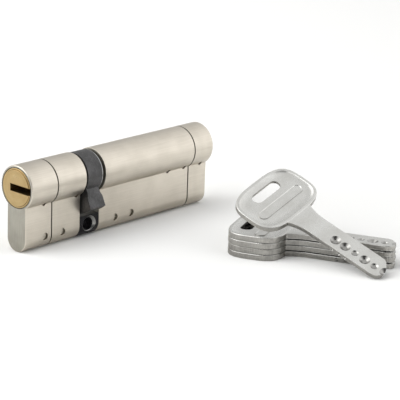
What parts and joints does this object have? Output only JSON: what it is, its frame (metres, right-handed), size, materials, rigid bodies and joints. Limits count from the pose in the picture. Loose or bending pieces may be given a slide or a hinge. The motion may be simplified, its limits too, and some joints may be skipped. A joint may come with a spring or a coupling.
{
  "type": "euro-profile double lock cylinder with keys",
  "caption": "Modular euro-profile double cylinder with snap grooves, blackened cam and connecting bar, and a stack of dimple keys.",
  "frame": {"origin": "where the axis of the M5 fixing screw crosses the middle plane of the cam gap", "axes": "+X along the barrel from the cam to the outer end of the long rear half, +Y square to the web's flank, +Z from the screw up to the plugs' axis"},
  "size_m": [0.0983, 0.1187, 0.033],
  "materials": {
    "satin_nickel": "satin nickel plate on machined brass, finely ground",
    "plug_brass": "turned and faced brass, satin",
    "pin_brass": "turned brass",
    "black_steel": "black phosphated steel, satin",
    "sintered_steel": "steam-blackened sintered steel, satin",
    "spring_steel": "bright spring steel",
    "nickel_silver": "bright nickel-plated key blank, lightly tumbled"
  },
  "bodies": {
    "root": {"front_body": "satin_nickel", "rear_body": "satin_nickel", "connecting_bar": "black_steel", "front_bar_pin_1": "satin_nickel", "front_bar_pin_2": "satin_nickel", "rear_bar_pin_1": "satin_nickel", "rear_bar_pin_2": "satin_nickel", "front_chamber_plug_1": "pin_brass", "front_chamber_plug_2": "pin_brass", "front_chamber_plug_3": "pin_brass", "front_chamber_plug_4": "pin_brass", "front_chamber_plug_5": "pin_brass", "front_pin_spring_1": "spring_steel", "front_pin_spring_2": "spring_steel", "front_pin_spring_3": "spring_steel", "front_pin_spring_4": "spring_steel", "front_pin_spring_5": "spring_steel", "rear_chamber_plug_1": "pin_brass", "rear_chamber_plug_2": "pin_brass", "rear_chamber_plug_3": "pin_brass", "rear_chamber_plug_4": "pin_brass", "rear_chamber_plug_5": "pin_brass", "rear_pin_spring_1": "spring_steel", "rear_pin_spring_2": "spring_steel", "rear_pin_spring_3": "spring_steel", "rear_pin_spring_4": "spring_steel", "rear_pin_spring_5": "spring_steel"},
    "front_plug": {"front_plug": "plug_brass", "front_clip": "spring_steel"},
    "rear_plug": {"rear_plug": "plug_brass", "rear_clip": "spring_steel"},
    "cam": {"cam": "sintered_steel"},
    "front_coupling": {"front_coupling": "sintered_steel"},
    "rear_coupling": {"rear_coupling": "sintered_steel"},
    "push_rod": {"rear_push_rod": "sintered_steel"},
    "key_1": {"key_1": "nickel_silver"},
    "key_2": {"key_2": "nickel_silver"},
    "key_3": {"key_3": "nickel_silver"},
    "key_4": {"key_4": "nickel_silver"},
    "key_5": {"key_5": "nickel_silver"},
    "front_key_pin_1": {"front_key_pin_1": "pin_brass"},
    "front_driver_1": {"front_driver_1": "sintered_steel"},
    "front_key_pin_2": {"front_key_pin_2": "pin_brass"},
    "front_driver_2": {"front_driver_2": "sintered_steel"},
    "front_key_pin_3": {"front_key_pin_3": "pin_brass"},
    "front_driver_3": {"front_driver_3": "sintered_steel"},
    "front_key_pin_4": {"front_key_pin_4": "pin_brass"},
    "front_driver_4": {"front_driver_4": "sintered_steel"},
    "front_key_pin_5": {"front_key_pin_5": "pin_brass"},
    "front_driver_5": {"front_driver_5": "sintered_steel"},
    "rear_key_pin_1": {"rear_key_pin_1": "pin_brass"},
    "rear_driver_1": {"rear_driver_1": "sintered_steel"},
    "rear_key_pin_2": {"rear_key_pin_2": "pin_brass"},
    "rear_driver_2": {"rear_driver_2": "sintered_steel"},
    "rear_key_pin_3": {"rear_key_pin_3": "pin_brass"},
    "rear_driver_3": {"rear_driver_3": "sintered_steel"},
    "rear_key_pin_4": {"rear_key_pin_4": "pin_brass"},
    "rear_driver_4": {"rear_driver_4": "sintered_steel"},
    "rear_key_pin_5": {"rear_key_pin_5": "pin_brass"},
    "rear_driver_5": {"rear_driver_5": "sintered_steel"}
  },
  "joints": [
    {"name": "front_plug_turn", "type": "hinge", "parent": "root", "child": "front_plug", "pos_m": [0, 0, 0.0195], "axis": [1, 0, 0], "continuous": true},
    {"name": "rear_plug_turn", "type": "hinge", "parent": "root", "child": "rear_plug", "pos_m": [0, 0, 0.0195], "axis": [1, 0, 0], "continuous": true},
    {"name": "cam_turn", "type": "hinge", "parent": "root", "child": "cam", "pos_m": [0, 0, 0.0195], "axis": [1, 0, 0], "continuous": true},
    {"name": "front_coupling_slide", "type": "slide", "parent": "front_plug", "child": "front_coupling", "axis": [1, 0, 0], "range_m": [-0.0019, 0]},
    {"name": "rear_coupling_slide", "type": "slide", "parent": "rear_plug", "child": "rear_coupling", "axis": [1, 0, 0], "range_m": [-0.0019, 0]},
    {"name": "push_rod_slide", "type": "slide", "parent": "rear_plug", "child": "push_rod", "axis": [1, 0, 0], "range_m": [-0.0019, 0]},
    {"name": "key_1_lift", "type": "slide", "parent": "root", "child": "key_1", "axis": [0, 0, 1], "range_m": [0, 0.012]},
    {"name": "key_2_lift", "type": "slide", "parent": "key_1", "child": "key_2", "axis": [0, 0, 1], "range_m": [0, 0.012]},
    {"name": "key_3_lift", "type": "slide", "parent": "key_2", "child": "key_3", "axis": [0, 0, 1], "range_m": [0, 0.012]},
    {"name": "key_4_lift", "type": "slide", "parent": "key_3", "child": "key_4", "axis": [0, 0, 1], "range_m": [0, 0.012]},
    {"name": "key_5_lift", "type": "slide", "parent": "key_4", "child": "key_5", "axis": [0, 0, 1], "range_m": [0, 0.012]},
    {"name": "front_driver_1_slide", "type": "slide", "parent": "root", "child": "front_driver_1", "axis": [0, 0, -1], "range_m": [0, 0.0015], "stiffness_N_per_m": 120, "springref_m": -0.002, "deforming": ["front_pin_spring_1"]},
    {"name": "front_key_pin_1_slide", "type": "slide", "parent": "front_plug", "child": "front_key_pin_1", "axis": [0, 0, 1], "range_m": [0, 0.0012]},
    {"name": "front_driver_2_slide", "type": "slide", "parent": "root", "child": "front_driver_2", "axis": [0, 0, -1], "range_m": [0, 0.0015], "stiffness_N_per_m": 120, "springref_m": -0.002, "deforming": ["front_pin_spring_2"]},
    {"name": "front_key_pin_2_slide", "type": "slide", "parent": "front_plug", "child": "front_key_pin_2", "axis": [0, 0, 1], "range_m": [0, 0.0012]},
    {"name": "front_driver_3_slide", "type": "slide", "parent": "root", "child": "front_driver_3", "axis": [0, 0, -1], "range_m": [0, 0.0015], "stiffness_N_per_m": 120, "springref_m": -0.002, "deforming": ["front_pin_spring_3"]},
    {"name": "front_key_pin_3_slide", "type": "slide", "parent": "front_plug", "child": "front_key_pin_3", "axis": [0, 0, 1], "range_m": [0, 0.0012]},
    {"name": "front_driver_4_slide", "type": "slide", "parent": "root", "child": "front_driver_4", "axis": [0, 0, -1], "range_m": [0, 0.0015], "stiffness_N_per_m": 120, "springref_m": -0.002, "deforming": ["front_pin_spring_4"]},
    {"name": "front_key_pin_4_slide", "type": "slide", "parent": "front_plug", "child": "front_key_pin_4", "axis": [0, 0, 1], "range_m": [0, 0.0012]},
    {"name": "front_driver_5_slide", "type": "slide", "parent": "root", "child": "front_driver_5", "axis": [0, 0, -1], "range_m": [0, 0.0015], "stiffness_N_per_m": 120, "springref_m": -0.002, "deforming": ["front_pin_spring_5"]},
    {"name": "front_key_pin_5_slide", "type": "slide", "parent": "front_plug", "child": "front_key_pin_5", "axis": [0, 0, 1], "range_m": [0, 0.0012]},
    {"name": "rear_driver_1_slide", "type": "slide", "parent": "root", "child": "rear_driver_1", "axis": [0, 0, -1], "range_m": [0, 0.0015], "stiffness_N_per_m": 120, "springref_m": -0.002, "deforming": ["rear_pin_spring_1"]},
    {"name": "rear_key_pin_1_slide", "type": "slide", "parent": "rear_plug", "child": "rear_key_pin_1", "axis": [0, 0, 1], "range_m": [0, 0.0012]},
    {"name": "rear_driver_2_slide", "type": "slide", "parent": "root", "child": "rear_driver_2", "axis": [0, 0, -1], "range_m": [0, 0.0015], "stiffness_N_per_m": 120, "springref_m": -0.002, "deforming": ["rear_pin_spring_2"]},
    {"name": "rear_key_pin_2_slide", "type": "slide", "parent": "rear_plug", "child": "rear_key_pin_2", "axis": [0, 0, 1], "range_m": [0, 0.0012]},
    {"name": "rear_driver_3_slide", "type": "slide", "parent": "root", "child": "rear_driver_3", "axis": [0, 0, -1], "range_m": [0, 0.0015], "stiffness_N_per_m": 120, "springref_m": -0.002, "deforming": ["rear_pin_spring_3"]},
    {"name": "rear_key_pin_3_slide", "type": "slide", "parent": "rear_plug", "child": "rear_key_pin_3", "axis": [0, 0, 1], "range_m": [0, 0.0012]},
    {"name": "rear_driver_4_slide", "type": "slide", "parent": "root", "child": "rear_driver_4", "axis": [0, 0, -1], "range_m": [0, 0.0015], "stiffness_N_per_m": 120, "springref_m": -0.002, "deforming": ["rear_pin_spring_4"]},
    {"name": "rear_key_pin_4_slide", "type": "slide", "parent": "rear_plug", "child": "rear_key_pin_4", "axis": [0, 0, 1], "range_m": [0, 0.0012]},
    {"name": "rear_driver_5_slide", "type": "slide", "parent": "root", "child": "rear_driver_5", "axis": [0, 0, -1], "range_m": [0, 0.0015], "stiffness_N_per_m": 120, "springref_m": -0.002, "deforming": ["rear_pin_spring_5"]},
    {"name": "rear_key_pin_5_slide", "type": "slide", "parent": "rear_plug", "child": "rear_key_pin_5", "axis": [0, 0, 1], "range_m": [0, 0.0012]}
  ],
  "couplings": [
    {"joint": "cam_turn", "follows": "front_plug_turn", "ratio": 1},
    {"joint": "rear_coupling_slide", "follows": "front_coupling_slide", "ratio": 1},
    {"joint": "push_rod_slide", "follows": "front_coupling_slide", "ratio": 1}
  ]
}
